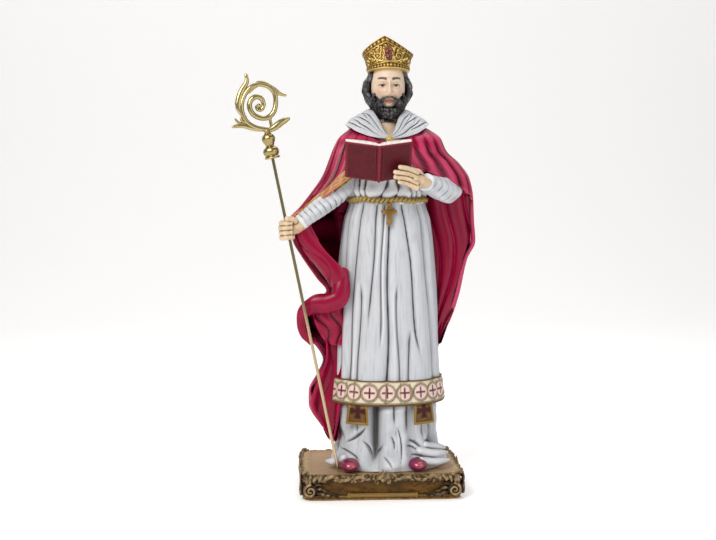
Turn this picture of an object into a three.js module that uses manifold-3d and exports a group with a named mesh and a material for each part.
// A painted resin statuette of a bishop saint: mitre, hooded collar and long cloak over a white robe,
// an open book in one hand and a brass crozier in the other, on a rectangular carved plinth.
// Millimetres, +Z up, the front towards -Y, the origin under the middle of the plinth.
import * as THREE from 'three';
import { mergeVertices } from 'three/addons/utils/BufferGeometryUtils.js';
import Module from 'manifold-3d';

const wasm = await Module();
wasm.setup();

// Driving dimensions
const plinthWidth = 104;
const plinthDepth = 70;
const plinthHeight = 17;
const plinthTopThickness = 3.4;
const plinthTopOverhang = 0.8;
const plinthWaistInset = 1.6;
const plinthFootHeight = 3.2;
const plinthCarvingRelief = 1.4;
const namePlateWidth = 42;
const namePlateHeight = 2.6;
const scrollDiameter = 10;
const figureHeight = 282.7;
const figureShiftX = 5;
const touchGap = 0.3;
const cloakWall = 2.8;
const rodDiameter = 2;
const rodLength = 215;
const rodFootX = -28.4;
const rodFootY = -27;
const rodClearance = 0.3;
const crookDiameter = 29;
const crookBarDiameter = 3.2;
const knobDiameter = 9.4;
const collarDiameter = 9.4;
const headSocketDepth = 7;

// The figure is drawn 282.7 units tall from its floor, then scaled to its height. These are its levels as drawn.
const drawn = { tall: 282.7, floor: 17.3, hemLow: 61, hemHigh: 76.5, belt: 194.5, collar: 246 };
const carve = figureHeight / drawn.tall;
const floorZ = plinthHeight + touchGap;

const TAU = Math.PI * 2;
const vec = (x, y, z) => new THREE.Vector3(x, y, z);
const clamp01 = (t) => Math.min(1, Math.max(0, t));
const ease = (low, high, t) => {
  const share = clamp01((t - low) / (high - low));
  return share * share * (3 - 2 * share);
};
const mix = THREE.MathUtils.lerp;

// A smooth curve through [place, value] pairs that doesn't swing past them.
function through(pairs) {
  const sorted = [...pairs].sort((a, b) => a[0] - b[0]);
  const slope = sorted.map((p, i) => {
    if (i === 0 || i === sorted.length - 1) return 0;
    const before = (p[1] - sorted[i - 1][1]) / (p[0] - sorted[i - 1][0]);
    const after = (sorted[i + 1][1] - p[1]) / (sorted[i + 1][0] - p[0]);
    return before * after <= 0 ? 0 : (2 * before * after) / (before + after);
  });
  return (x) => {
    if (x <= sorted[0][0]) return sorted[0][1];
    if (x >= sorted.at(-1)[0]) return sorted.at(-1)[1];
    const i = sorted.findIndex((p) => p[0] > x) - 1;
    const [x0, y0] = sorted[i];
    const [x1, y1] = sorted[i + 1];
    const h = x1 - x0;
    const t = (x - x0) / h;
    const curve = (2 * t ** 3 - 3 * t * t + 1) * y0 + (t ** 3 - 2 * t * t + t) * h * slope[i];
    return curve + (3 * t * t - 2 * t ** 3) * y1 + (t ** 3 - t * t) * h * slope[i + 1];
  };
}

// A path through a few points, as (share of the way) => point.
function pathThrough(points) {
  const curve = new THREE.CatmullRomCurve3(points.map((p) => vec(...p)), false, 'centripetal');
  return (t) => curve.getPoint(clamp01(t));
}

// One drapery fold for each whole step of x: a broad crest and a narrow valley.
const crest = (x) => Math.abs(Math.cos(Math.PI * x)) ** 0.7;

// Solids from three.js geometries, joined and cut by the library
function solid(geometry) {
  const bare = new THREE.BufferGeometry();
  const flat = geometry.index ? geometry.toNonIndexed() : geometry;
  bare.setAttribute('position', flat.getAttribute('position'));
  const merged = mergeVertices(bare, 1e-4);
  const corners = [...merged.index.array];
  const inward = volumeOf(merged.attributes.position, corners) < 0;
  const kept = [];
  for (let i = 0; i < corners.length; i += 3) {
    const [a, b, c] = corners.slice(i, i + 3);
    if (a === b || b === c || c === a) continue;
    kept.push(a, ...(inward ? [c, b] : [b, c]));
  }
  return new wasm.Manifold(
    new wasm.Mesh({ numProp: 3, vertProperties: merged.attributes.position.array, triVerts: new Uint32Array(kept) }),
  );
}

function volumeOf(position, corners) {
  let sum = 0;
  const [a, b, c] = [vec(0, 0, 0), vec(0, 0, 0), vec(0, 0, 0)];
  for (let i = 0; i < corners.length; i += 3) {
    a.fromBufferAttribute(position, corners[i]);
    b.fromBufferAttribute(position, corners[i + 1]);
    c.fromBufferAttribute(position, corners[i + 2]);
    sum += a.dot(b.cross(c));
  }
  return sum / 6;
}

// Fills the sealed hollows of a casting: of its closed skins, only those that face out are kept.
function withoutHollows(geometry) {
  const corners = geometry.index.array;
  const group = Array.from({ length: geometry.attributes.position.count }, (_, i) => i);
  const rootOf = (i) => {
    while (group[i] !== i) i = group[i] = group[group[i]];
    return i;
  };
  for (let i = 0; i < corners.length; i += 3) {
    group[rootOf(corners[i + 1])] = rootOf(corners[i]);
    group[rootOf(corners[i + 2])] = rootOf(corners[i]);
  }
  const skins = new Map();
  for (let i = 0; i < corners.length; i += 3) {
    const skin = rootOf(corners[i]);
    if (!skins.has(skin)) skins.set(skin, []);
    skins.get(skin).push(...corners.subarray(i, i + 3));
  }
  const outer = [...skins.values()].filter((skin) => volumeOf(geometry.attributes.position, skin) > 0);
  return geometry.clone().setIndex(outer.flat());
}

function geometryOf(made) {
  const mesh = made.getMesh();
  const positions = new Float32Array(mesh.numVert * 3);
  for (let i = 0; i < mesh.numVert; i++) {
    positions.set(mesh.vertProperties.subarray(i * mesh.numProp, i * mesh.numProp + 3), i * 3);
  }
  const geometry = new THREE.BufferGeometry();
  geometry.setAttribute('position', new THREE.BufferAttribute(positions, 3));
  geometry.setIndex(new THREE.BufferAttribute(mesh.triVerts, 1));
  return geometry;
}

const join = (solids) => solids.reduce((sum, next) => sum.add(next));

function moveVertices(geometry, place) {
  const position = geometry.getAttribute('position');
  for (let i = 0; i < position.count; i++) {
    const p = place(vec(position.getX(i), position.getY(i), position.getZ(i)));
    position.setXYZ(i, p.x, p.y, p.z);
  }
  return geometry;
}

// A closed form whose section turns round at each height share: a cylinder, reshaped.
function loft(sides, rows, section, middle) {
  const start = new THREE.CylinderGeometry(1, 1, 1, sides, rows);
  return moveVertices(start, (p) => {
    const share = clamp01(p.y + 0.5);
    const angle = Math.atan2(p.x, p.z);
    return Math.hypot(p.x, p.z) > 0.5 ? section(angle, share) : middle(share);
  });
}

// A closed sheet of cloth: a flat box, bent to surface(u, v) and given its wall along the normal.
function sheet(columns, rows, surface, wall) {
  const step = 1e-3;
  return moveVertices(new THREE.BoxGeometry(1, 1, 1, columns, rows, 1), (p) => {
    const u = p.x + 0.5;
    const v = p.y + 0.5;
    const here = surface(u, v);
    if (p.z > 0) return here;
    const alongU = surface(Math.min(1, u + step), v).sub(surface(Math.max(0, u - step), v));
    const alongV = surface(u, Math.min(1, v + step)).sub(surface(u, Math.max(0, v - step)));
    return here.addScaledVector(alongU.cross(alongV).normalize(), wall(u, v));
  });
}

// A limb, finger or lock: a tube of changing radius along a path, with closed ends.
function tube(points, radius, sides, rows, flatten = 1) {
  const path = pathThrough(points);
  const step = 1e-3;
  const side = vec(...points[0]).sub(vec(...points.at(-1))).cross(vec(0, 0, 1));
  if (side.length() < 1e-3) side.set(1, 0, 0);
  return loft(
    sides,
    rows,
    (angle, t) => {
      const along = path(Math.min(1, t + step)).sub(path(Math.max(0, t - step))).normalize();
      const across = side.clone().addScaledVector(along, -side.dot(along)).normalize();
      const up = along.clone().cross(across);
      const r = radius(t);
      const at = path(t).addScaledVector(across, r * Math.cos(angle));
      return at.addScaledVector(up, -flatten * r * Math.sin(angle));
    },
    path,
  );
}

function ball(x, y, z, rx, ry, rz, sides = 16, rows = 10) {
  return new THREE.SphereGeometry(1, sides, rows).rotateX(Math.PI / 2).scale(rx, ry, rz).translate(x, y, z);
}

// Robe: skirt under the tunic, tunic from belt to hem, and the bloused top
const robeHalfWidth = through([[60, 37], [76, 35.8], [104, 34.3], [130, 33.3], [156, 31.5], [181, 28.2], [194, 24.4]]);
const robeHalfDepth = through([[60, 28.5], [104, 25.5], [156, 22], [194, 17.5]]);

// Valleys between the tunic's folds: angle at the belt, angle at the hem, top and bottom level, depth and half-width
const valleys = [
  [-86, -78, 196, 60, 2.6, 8], [-66, -64, 196, 60, 2, 7], [-43, -50, 196, 60, 2.6, 7], [-33, -37, 140, 60, 2, 6],
  [-17, -27, 196, 116, 2, 5.5], [-7, -13, 196, 100, 1.6, 5], [0, -3, 196, 60, 3.6, 6], [8, 10, 140, 60, 1.6, 5.5],
  [21, 40, 196, 96, 2.6, 5.5], [24, 22, 110, 60, 1.8, 5.5], [50, 62, 196, 60, 3, 7.5], [70, 84, 196, 60, 2.4, 8],
  [104, 104, 196, 60, 2.4, 9], [134, 134, 196, 60, 2, 9], [180, 180, 196, 60, 2, 10], [-134, -134, 196, 60, 2, 9],
  [-108, -108, 196, 60, 2.4, 9],
];

function valleyDepth(angle, z) {
  let deepest = 0;
  for (const [atBelt, atHem, top, bottom, depth, width] of valleys) {
    const middle = THREE.MathUtils.degToRad(mix(atHem, atBelt, (z - 60) / 136));
    const away = Math.atan2(Math.sin(angle - middle), Math.cos(angle - middle));
    const fade = ease(bottom - 8, bottom + 14, z) * ease(top + 4, top - 10, z);
    deepest = Math.max(deepest, depth * fade * Math.exp(-((away / THREE.MathUtils.degToRad(1.2 * width)) ** 2)));
  }
  return deepest;
}

function robeRing(angle, z, spread, folded) {
  const fold = spread + 0.8 - 1.2 * folded * valleyDepth(angle, z);
  return vec((robeHalfWidth(z) + fold) * Math.sin(angle), -(robeHalfDepth(z) + fold) * Math.cos(angle), z);
}

const tunic = () =>
  loft(
    60,
    4,
    (angle, t) => robeRing(angle - 0.3 * Math.sin(angle), mix(drawn.hemLow, drawn.belt, t), 0, 1),
    (t) => vec(0, 0, mix(drawn.hemLow, drawn.belt, t)),
  );

const hemBand = () =>
  loft(
    32,
    1,
    (angle, t) => robeRing(angle, mix(drawn.hemLow - 0.6, drawn.hemHigh, t), 0.9 - 0.4 * t, 0.4),
    (t) => vec(0, 0, mix(drawn.hemLow - 0.6, drawn.hemHigh, t)),
  );

const skirt = () =>
  loft(
    40,
    3,
    (angle, t) => {
      const z = mix(drawn.floor, drawn.hemHigh, t);
      const train = 6 * (1 - ease(0, 0.35, t)) * (0.7 + 0.3 * Math.cos(2 * angle));
      const fold = 2.6 * (crest((13 * angle) / TAU + 0.25 * Math.sin(3 * angle) + 0.3 * t) - 0.7);
      const across = mix(33, 32.5, t) + train + fold;
      const deep = mix(26.5, 27, t) + 0.5 * train + fold;
      return vec(across * Math.sin(angle), -deep * Math.cos(angle), z);
    },
    (t) => vec(0, 0, mix(drawn.floor, drawn.hemHigh, t)),
  );

const bodiceHalfWidth = through([[191, 24], [200, 25.8], [212, 24], [224, 30], [238, 26], [247, 17]]);
const bodiceHalfDepth = through([[191, 17], [200, 19.2], [212, 18], [224, 21], [238, 17], [247, 12]]);

const bodice = () =>
  loft(
    20,
    5,
    (angle, t) => {
      const z = mix(drawn.belt - 3, drawn.collar, t);
      return vec(bodiceHalfWidth(z) * Math.sin(angle), -bodiceHalfDepth(z) * Math.cos(angle), z);
    },
    (t) => vec(0, 0, mix(drawn.belt - 3, drawn.collar, t)),
  );

const belt = () => {
  const rope = new THREE.TorusGeometry(1, 0.06, 4, 20);
  return moveVertices(rope, (p) => {
    const angle = Math.atan2(p.y, p.x);
    const out = Math.hypot(p.x, p.y) - 1;
    const thick = 1.7 / 0.06;
    return vec(
      (25.2 + out * thick) * Math.cos(angle),
      (18.6 + out * thick) * Math.sin(angle),
      drawn.belt + p.z * thick,
    );
  });
};

const pendantCross = () => {
  const bar = (w, h, z) => new THREE.BoxGeometry(w, 4.4, h).translate(0, -19.4, z);
  return [bar(2.6, 12, 186), bar(7.6, 2.6, 187.6)];
};

const stoleEnd = (x, flare) =>
  moveVertices(new THREE.BoxGeometry(1, 3.2, 17), (p) => {
    const drop = 0.5 - p.z / 17;
    const across = p.x * mix(11.6, 14.4, drop) + x + flare * drop;
    return vec(across, p.y - 27.8 + 0.0045 * across * across - 0.8 * drop, p.z + 57.5);
  });

const shoe = (x) => ball(x, -26.5, 21.4, 6.4, 8.5, 4.6, 10, 6);

// Cloak: half-widths to each side, depths to front and back, and how far each edge comes round to the front
const cloakLeft = through([
  [247, 18], [244, 27], [230.4, 35.1], [210.6, 44.4], [198, 53.9], [182, 65], [168, 62.3], [157, 56.3], [142, 46],
  [134, 40], [123.5, 57], [116, 60], [106.5, 57.5], [97, 47], [88, 42.5], [79, 46.3], [67, 52], [57, 52], [45, 45],
  [32, 36],
]);
const cloakRight = through([
  [247, 18], [244, 27], [239.4, 33.4], [225.7, 39.9], [218.9, 47.3], [208, 54.9], [198.3, 56.9], [178.5, 58.5],
  [166.6, 59.2], [154.7, 54], [130.9, 49], [112.9, 43.5], [102, 38], [80, 33], [40, 30],
]);
const cloakBack = through([[247, 13], [238, 18], [215, 25], [180, 29], [120, 32], [60, 34], [34, 34.5]]);
const cloakFront = through([[247, 14], [238, 19], [225, 25], [210, 26], [195, 25], [150, 22], [34, 20]]);
const leftSideY = through([[247, 0], [230, -3], [210, -9], [198, -14], [182, -19], [165, -15], [130, -10], [34, -8]]);
const rightSideY = through([[247, 0], [225, -2], [198, -3], [160, -2], [120, 2], [60, 14], [34, 18]]);
const leftReach = through([[232, 178], [222, 162], [210, 145], [196, 127], [187, 115], [180, 100], [170, 94], [34, 92]]);
const rightReach = through([[234, 178], [225, 162], [217, 142], [209, 124], [200, 105], [190, 96], [34, 88]]);
const cloakRows = [247, 238, 228, 218, 208, 198, 183, 167, 150, 135, 124, 107, 92, 76, 58, 45, 33];
const cloakZ = (v) => {
  const row = Math.min(v * (cloakRows.length - 1), cloakRows.length - 1.001);
  return mix(cloakRows[Math.floor(row)], cloakRows[Math.floor(row) + 1], row % 1);
};
const cloakFolds = 13;

function cloakSurface(u, v) {
  const z = cloakZ(v);
  const turn = THREE.MathUtils.degToRad(mix(-rightReach(z), leftReach(z), u));
  const left = turn > 0;
  const half = left ? cloakLeft(z) : cloakRight(z);
  const sideY = left ? leftSideY(z) : rightSideY(z);
  const deep = Math.abs(turn) < Math.PI / 2 ? cloakBack(z) - sideY : sideY + cloakFront(z);
  const hang = ease(0.02, 0.45, v);
  const wave = crest((cloakFolds * turn) / Math.PI / 2 + 0.25 * Math.sin(3 * turn) + 0.5 * v * Math.sign(turn));
  const out = hang * 3 * (wave - 0.7) * (1 - 0.6 * ease(1.2, 1.6, Math.abs(turn)));
  return vec(-(half + out) * Math.sin(turn), sideY + (deep + out) * Math.cos(turn), z);
}

const cloak = () =>
  sheet(24, cloakRows.length - 1, cloakSurface, (u, v) => {
    const z = cloakZ(v);
    const turn = Math.abs(THREE.MathUtils.degToRad(mix(-rightReach(z), leftReach(z), u)));
    return (cloakWall + 7 * (1 - ease(0.7, 1.25, turn))) / carve;
  });

// The cloak's turned edge on the crozier side, from two edge paths
function ribbon(near, far, bulge, columns, rows) {
  const a = pathThrough(near);
  const b = pathThrough(far);
  return sheet(
    columns,
    rows,
    (u, v) => {
      const p = a(v).lerp(b(v), u);
      p.y -= bulge * Math.sin(Math.PI * u);
      return p;
    },
    () => cloakWall / carve,
  );
}

const cascade = () =>
  ribbon(
    [[-64, -14, 170], [-57.7, -15, 162], [-48.4, -15, 151.3], [-41, -15, 142], [-38, -14, 136]],
    [[-51, -19, 179], [-44.4, -20, 166.4], [-36.5, -20, 157], [-29.5, -20, 149.6], [-25.5, -19, 138]],
    2.5,
    4,
    8,
  );

const roll = () =>
  tube(
    [
      [-31.5, -16, 148], [-31, -18.5, 138], [-33, -19, 130.5], [-40, -18.5, 127.3], [-48, -17.5, 126.4],
      [-55, -16, 121.5], [-57.4, -14.5, 114.5], [-55.8, -13.5, 107], [-51, -12, 100],
    ],
    through([[0, 3.2], [0.25, 3.9], [0.45, 4.1], [0.62, 3], [0.75, 1.9], [0.9, 1.6], [1, 1]]),
    8,
    16,
    1.6,
  );

const tail = () =>
  ribbon(
    [[-33, -14, 99], [-34, -16, 86], [-39, -17, 70], [-42, -17, 58], [-40, -15, 47], [-36.5, -13, 35]],
    [[-41.5, -7, 97], [-41.5, -7, 88], [-48.6, -7, 70], [-51.6, -7, 59], [-47, -7, 50], [-37, -7, 35]],
    2,
    3,
    8,
  );

// Sleeves and hands
const rightSleeve = () =>
  tube(
    [[32, 4, 220], [41, -5, 203], [34, -19, 201.5], [23, -31, 206]],
    through([[0, 5], [0.35, 8.8], [0.7, 7.6], [1, 5.6]]),
    10,
    6,
  );

const leftSleeve = () =>
  tube(
    [[-24, 2, 216], [-30, -8, 203], [-43, -16, 191], [-56.5, -21, 180]],
    through([[0, 6], [0.3, 8.5], [0.7, 7], [1, 5.4]]),
    10,
    5,
  );


const bookHand = () => [
  tube([[24, -31, 205.5], [19, -36, 206.5], [13, -41, 208.5]], through([[0, 4.6], [0.6, 5.6], [1, 4.4]]), 10, 5, 0.7),
  ...[0, 1, 2, 3].map((i) => {
    const rootZ = 212.6 - 3.1 * i;
    const tipX = [4.4, 1.4, 1.6, 4.4][i];
    const middle = [9.5, -45.4 + 0.7 * i, rootZ + 2.2];
    return tube([[15.5, -42, rootZ - 0.6], middle, [tipX, -47.6 + 1.1 * i, rootZ + 3.2]], (t) => mix(2, 1.45, t), 5, 2);
  }),
  tube([[19, -35, 211], [17.5, -37, 216], [13.5, -39.5, 220]], (t) => mix(2.3, 1.6, t), 6, 3),
];

// The crozier's axis runs from its foot on the plinth through the gripping hand.
const grip = vec(figureShiftX, 0, floorZ).add(vec(-66, -23.5, 176 - drawn.floor).multiplyScalar(carve));
const rodFoot = vec(rodFootX, rodFootY, floorZ);
const rodAxis = grip.clone().sub(rodFoot).normalize();
const rodTip = rodFoot.clone().addScaledVector(rodAxis, rodLength);

const fist = () => {
  const [x, y, z] = [-66, -23.5, 175.6];
  return [
    tube([[-55.5, -20, 180], [-59.5, -20, 178], [-64, -18.5, 175]], through([[0, 4.6], [0.7, 6], [1, 4.6]]), 9, 3, 0.8),
    ...[0, 1, 2, 3].map((i) => {
      const up = z + 4.6 - 3.1 * i;
      const reach = 4.2 - 0.4 * Math.abs(i - 1);
      return tube(
        [[x + 3.2, y + 4.4, up], [x - 3, y + 3.4, up - 0.4], [x - reach, y - 0.6, up - 0.6], [x - 1.4, y - 3.6, up - 0.4], [x + 2.2, y - 2.8, up]],
        (t) => mix(2.1, 1.6, t),
        5,
        3,
      );
    }),
    tube([[x + 6, y + 1.5, z + 4], [x + 4, y - 2, z + 6.4], [x - 0.5, y - 3.6, z + 7]], (t) => mix(2.3, 1.6, t), 6, 3),
  ];
};

// Open book: covers and page blocks, extruded along the spine and tilted
const bookHeight = 24.5;
const bookSpread = 21;
const bookLift = Math.tan(THREE.MathUtils.degToRad(19));
const bookTilt = THREE.MathUtils.degToRad(24);

const book = () => {
  const outline = (points) => new THREE.Shape(points.map(([x, y]) => new THREE.Vector2(x, y)));
  const wing = (x) => Math.abs(x) * bookLift;
  const coverLine = [-bookSpread, -1.6, 1.6, bookSpread];
  const cover = coverLine.map((x) => [x, wing(x)]).concat([...coverLine].reverse().map((x) => [x, wing(x) + 1.3]));
  const pageLine = [-19.8, -1.2, 1.2, 19.8];
  const pageTop = [19.8, 14, 6, 1.5, 0, -1.5, -6, -14, -19.8];
  const swell = (x) => 1 + 4.4 * Math.sin(Math.PI * clamp01(0.12 + 0.7 * (Math.abs(x) / 19.8) ** 0.6)) ** 0.5;
  const pages = pageLine.map((x) => [x, wing(x) + 0.6]).concat(pageTop.map((x) => [x, wing(x) + 0.6 + swell(x)]));
  const block = (points, depth) =>
    new THREE.ExtrudeGeometry(outline(points), { depth, bevelEnabled: false, steps: 1 })
      .translate(0, 0, -depth / 2)
      .rotateX(bookTilt)
      .translate(-8.4, -46.5, 217.4);
  return [block(cover, bookHeight), block(pages, bookHeight - 1.4)];
};

// Hooded collar, neck, head, hair, beard and mitre
const collar = () =>
  loft(
    22,
    3,
    (angle, t) => {
      const front = Math.cos(angle);
      const side = Math.abs(Math.sin(angle));
      const roll = Math.sin(Math.PI * clamp01(t * 0.85)) * 2.2;
      const half = mix(27, 12.5, t) + roll;
      const deep = front > 0 ? mix(23, 10.5, t) + roll : mix(20, 9.5, t) + roll;
      const low = front > 0 ? mix(244.5, 234, front ** 1.4) : mix(244.5, 236, -front);
      const high = front > 0 ? mix(253.4, 241, front ** 1.2) : mix(253.4, 255.5, -front);
      const pleat = 0.9 * (crest((14 * angle) / TAU + 0.5) - 0.7) * side;
      return vec((half + pleat) * Math.sin(angle), -(deep + pleat) * front, mix(low, high, t) + 0.6 * roll);
    },
    (t) => vec(0, 0, mix(236, 246, t)),
  );

const neck = () => tube([[0, 2, 236], [0.3, -1, 256]], () => 8.2, 14, 2);

const headMiddle = vec(0.4, -3, 268.5);

const head = () =>
  moveVertices(ball(0, 0, 0, 11.2, 13, 17, 16, 12), (p) => {
    const front = ease(0, 9, -p.y);
    const nose = 3.2 * front * Math.exp(-((p.x / 1.9) ** 2)) * ease(5, -3.5, p.z) * ease(-6.5, -4, p.z);
    const brow = 0.9 * front * Math.exp(-(((p.z - 4.5) / 1.6) ** 2));
    const socket = 1.2 * front * Math.exp(-(((Math.abs(p.x) - 4.6) / 2.4) ** 2 + ((p.z - 1.6) / 2) ** 2));
    return vec(p.x, p.y - nose - brow + socket, p.z).add(headMiddle);
  });

const lumps = (p, size) => size * Math.sin(p.x * 1.25 + 0.6) * Math.sin(p.z * 1.15) * Math.sin(p.y * 1.2 + 0.9);

const hair = () =>
  moveVertices(ball(0, 0, 0, 16.4, 13.5, 18, 16, 10), (p) => {
    const out = 1 + lumps(p, 0.12);
    return vec(p.x * out, p.y * out + 4.6, p.z * out - 1).add(headMiddle);
  });

const beard = () =>
  moveVertices(ball(0, 0, 0, 12.2, 9.6, 11, 16, 10), (p) => {
    const out = 1 + lumps(p, 0.11);
    const narrow = 1 - 0.28 * ease(2, -9, p.z);
    return vec(p.x * out * narrow, p.y * out - 3.5, p.z * out - 11.4).add(headMiddle);
  });

const moustache = (side) =>
  tube([[0.4, -17.2, 264], [0.4 + side * 3.5, -16.6, 263], [0.4 + side * 6.2, -14.4, 258.5]], (t) => mix(1.5, 1.7, t), 6, 4);

const mitreTilt = THREE.MathUtils.degToRad(-8);
const mitrePeakShift = -3;

const mitre = () => {
  const rim = 278;
  return loft(
    28,
    3,
    (angle, t) => {
      const front = Math.abs(Math.cos(angle));
      const side = Math.abs(Math.sin(angle));
      const top = mix(22, 12, side ** 1.1);
      const half = mix(13.4, 16.4, t);
      const shift = mitrePeakShift * front * t * t;
      const x = half * Math.sin(angle) + shift;
      const y = -mix(13.6, 10.2, t) * Math.cos(angle);
      return vec(x, y, top * t).applyAxisAngle(vec(1, 0, 0), mitreTilt).add(vec(0.6, -2.2, rim));
    },
    (t) => vec(0, 0, 10 * t).applyAxisAngle(vec(1, 0, 0), mitreTilt).add(vec(0.6, -2.2, rim)),
  );
};

const lappet = (side) =>
  moveVertices(new THREE.BoxGeometry(6.4, 3.4, 33, 1, 1, 3), (p) => {
    const drop = 0.5 - p.z / 33;
    return vec(p.x + side * mix(4.6, 8, drop), p.y + 11.2 + 5 * drop ** 0.5, p.z + 263);
  });

// The figure is one casting: every form is joined, and the fist is drilled for the rod.
function makeFigure() {
  const forms = [
    skirt(), tunic(), hemBand(), bodice(), belt(), ...pendantCross(),
    stoleEnd(-20.6, -0.6), stoleEnd(22.2, 0.9), shoe(-26), shoe(18.6),
    cloak(), cascade(), roll(), tail(), rightSleeve(), leftSleeve(),
    ...bookHand(), ...fist(), ...book(),
    collar(), neck(), head(), hair(), beard(), moustache(-1), moustache(1), mitre(), lappet(-1), lappet(1),
  ];
  const underFloor = new THREE.BoxGeometry(200, 200, 20).translate(0, 0, drawn.floor - 10);
  const whole = join(forms.map((form) => solid(form))).subtract(solid(underFloor));
  const placed = geometryOf(whole)
    .translate(0, 0, -drawn.floor)
    .scale(carve, carve, carve)
    .translate(figureShiftX, 0, floorZ);
  const bore = alongRod(
    new THREE.CylinderGeometry(rodDiameter / 2 + rodClearance, rodDiameter / 2 + rodClearance, rodLength * 2, 14),
  );
  return solid(withoutHollows(geometryOf(solid(placed).subtract(solid(bore)))));
}

// Turns a geometry made round the Y axis onto the crozier's axis, with its origin at the rod's foot.
function alongRod(geometry) {
  const turn = new THREE.Quaternion().setFromUnitVectors(vec(0, 1, 0), rodAxis);
  return geometry.applyQuaternion(turn).translate(rodFoot.x, rodFoot.y, rodFoot.z);
}

const makeRod = () =>
  solid(
    alongRod(new THREE.CylinderGeometry(rodDiameter / 2, rodDiameter / 2, rodLength, 12).translate(0, rodLength / 2, 0)),
  );

// Crozier head: collar and two knobs round the rod's end, then the crook with its four leaves
function makeCrozierHead() {
  const knob = knobDiameter / 2;
  const wide = collarDiameter / 2;
  const profile = [
    [0, 0], [wide, 0], [wide, 0.21], [wide * 0.83, 0.36], [knob * 0.94, 0.66], [knob, 1.04], [knob * 0.84, 1.53],
    [knob * 0.42, 1.9], [knob * 0.46, 2.08], [knob * 0.76, 2.47], [knob * 0.81, 2.85], [knob * 0.68, 3.28],
    [knob * 0.36, 3.62], [0, 4.34],
  ].map(([x, y]) => new THREE.Vector2(x, y * knob));
  const stem = new THREE.LatheGeometry(profile, 10);
  const bar = crookBarDiameter / 2;
  const k = crookDiameter / 29;
  const inPlane = (points) => points.map(([x, y]) => [x * k, 3.96 * knob + (y - 18.6) * k, 0]);
  const crook = barAlong(
    inPlane([
      [0.5, 18.9], [-10.7, 25], [-12.6, 37.5], [-4.2, 47.4], [6.9, 45.3], [9.6, 35.3], [2.7, 26.5], [-6.4, 30], [-6.2, 39],
      [0.8, 38.9], [-0.4, 33], [-2.4, 34.6],
    ]),
    (t) => bar * mix(0.95, 0.8, t),
    5,
    26,
  );
  const leaf = (points, thick) => barAlong(inPlane(points), through([[0, thick * 0.8], [0.45, thick], [1, 0.3]]), 4, 4);
  const leaves = [
    leaf([[1, 18.6], [-7.5, 21.3], [-14.6, 24.4], [-21.2, 24.8]], bar * 1.15),
    leaf([[-10.5, 25], [-13.6, 26.6], [-14.9, 29.6]], bar * 0.8),
    leaf([[-12, 28.6], [-15, 36], [-11.8, 44.5], [-6.4, 51], [-5.7, 56]], bar * 1.3),
    leaf([[-7, 44.5], [2, 48.8], [9, 44.2], [12.6, 40.4], [16.8, 38.2]], bar * 1.15),
    leaf([[0.6, 18], [5.4, 19.6], [10.4, 21.8], [15.9, 21.9]], bar * 1.45),
    leaf([[3.2, 19], [3.6, 23], [3.4, 26.8]], bar * 0.75),
  ];
  const made = join([stem, crook, ...leaves].map((form) => solid(form.translate(0, rodLength - headSocketDepth, 0))));
  const socket = new THREE.CylinderGeometry(
    rodDiameter / 2 + rodClearance,
    rodDiameter / 2 + rodClearance,
    headSocketDepth * 2 + 2 * rodClearance,
    12,
  ).translate(0, rodLength - headSocketDepth, 0);
  return solid(alongRod(geometryOf(made.subtract(solid(socket)))));
}

// A tapering bar that stays in the crook's flat plane.
function barAlong(points, radius, sides, rows) {
  const path = pathThrough(points);
  const step = 1e-3;
  return loft(
    sides,
    rows,
    (angle, t) => {
      const along = path(Math.min(1, t + step)).sub(path(Math.max(0, t - step))).normalize();
      const across = vec(-along.y, along.x, 0);
      const at = path(t).addScaledVector(across, radius(t) * Math.sin(angle));
      at.z += radius(t) * Math.cos(angle);
      return at;
    },
    path,
  );
}

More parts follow.
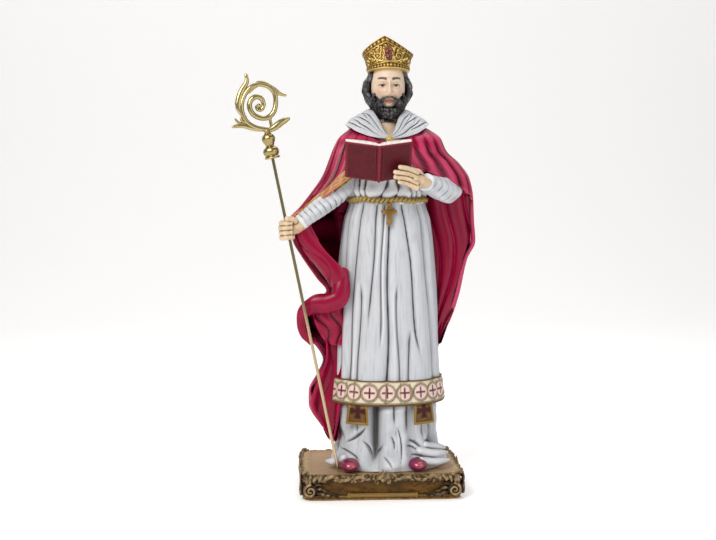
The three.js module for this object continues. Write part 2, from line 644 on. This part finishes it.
// Plinth: block with a waist, a wavy carved top plate, corner scrolls, a shell and a blank name plate
function makePlinth() {
  const slab = (width, depth, low, high, corner) => {
    const [w, d] = [width / 2, depth / 2];
    const plan = new THREE.Shape();
    plan.moveTo(-w + corner, -d).lineTo(w - corner, -d).lineTo(w, -d + corner).lineTo(w, d - corner);
    plan.lineTo(w - corner, d).lineTo(-w + corner, d).lineTo(-w, d - corner).lineTo(-w, -d + corner);
    return new THREE.ExtrudeGeometry(plan, { depth: high - low, bevelEnabled: false }).translate(0, 0, low);
  };
  const topLow = plinthHeight - plinthTopThickness;
  const waist = slab(
    plinthWidth - 2 * plinthWaistInset, plinthDepth - 2 * plinthWaistInset, plinthFootHeight - 1, topLow + 1, 2,
  );
  const foot = slab(plinthWidth, plinthDepth, 0, plinthFootHeight, 2);
  const top = wavyTop(topLow);
  const scrolls = [-1, 1].flatMap((side) => scroll(side));
  const shell = Array.from({ length: 7 }, (_, i) => {
    const lean = THREE.MathUtils.degToRad((i - 3) * 24);
    const lobe = ball(0, 0, 2.6, 1, 1.3, 3, 5, 4).rotateY(lean);
    return lobe.translate(0, -plinthDepth / 2, topLow + 0.5);
  });
  const plate = new THREE.BoxGeometry(namePlateWidth, plinthWaistInset + 0.8, namePlateHeight).translate(
    0, -plinthDepth / 2 + plinthWaistInset / 2 - 0.2, plinthFootHeight + namePlateHeight / 2 - 0.6,
  );
  return join([waist, foot, top, ...scrolls, ...shell, plate].map((form) => solid(form)));
}

function wavyTop(topLow) {
  const half = vec(plinthWidth / 2 + plinthTopOverhang, plinthDepth / 2 + plinthTopOverhang, 0);
  return loft(
    64,
    1,
    (angle, t) => {
      const [c, s] = [Math.cos(angle), Math.sin(angle)];
      const square = 1 / Math.max(Math.abs(c), Math.abs(s));
      const wave = plinthCarvingRelief * (0.5 * Math.sin(angle * 18) * Math.sin(angle * 5 + 1) - 0.5) * (1 - 0.4 * t);
      return vec((half.x + wave) * s * square, -(half.y + wave) * c * square, mix(topLow, plinthHeight, t));
    },
    (t) => vec(0, 0, mix(topLow, plinthHeight, t)),
  );
}

// A corner scroll: a disc on the block's front with a spiral bar laid on it.
function scroll(side) {
  const r = scrollDiameter / 2;
  const turn = (t) => mix(r * 0.86, r * 0.16, t);
  const centre = [side * (plinthWidth / 2 - r), -plinthDepth / 2 + plinthWaistInset * 0.2, plinthFootHeight + r * 0.62];
  const points = Array.from({ length: 12 }, (_, i) => {
    const t = i / 11;
    const angle = Math.PI * 0.5 - t * TAU * 1.4;
    return [side * turn(t) * Math.cos(angle), turn(t) * Math.sin(angle), 0];
  });
  const disc = new THREE.CylinderGeometry(r * 0.84, r * 0.84, 4, 14).translate(0, 1.9, 0);
  const bar = barAlong(points, (t) => r * mix(0.26, 0.34, t), 5, 14).rotateX(Math.PI / 2);
  return [disc, bar].map((form) => form.translate(...centre));
}

// Materials and the assembled group
const finish = (color, roughness, metalness = 0) => new THREE.MeshStandardMaterial({ color, roughness, metalness });
const paintedResin = finish(0xb8436a, 0.45);
const bronzedResin = finish(0x7d6237, 0.5);
const brass = finish(0xb69a55, 0.3, 1);

const statue = new THREE.Group();
const parts = [
  ['plinth', makePlinth(), bronzedResin],
  ['figure', makeFigure(), paintedResin],
  ['crozier_rod', makeRod(), brass],
  ['crozier_head', makeCrozierHead(), brass],
];
for (const [name, made, material] of parts) {
  const mesh = new THREE.Mesh(geometryOf(made), material);
  mesh.name = name;
  statue.add(mesh);
}

export default statue;
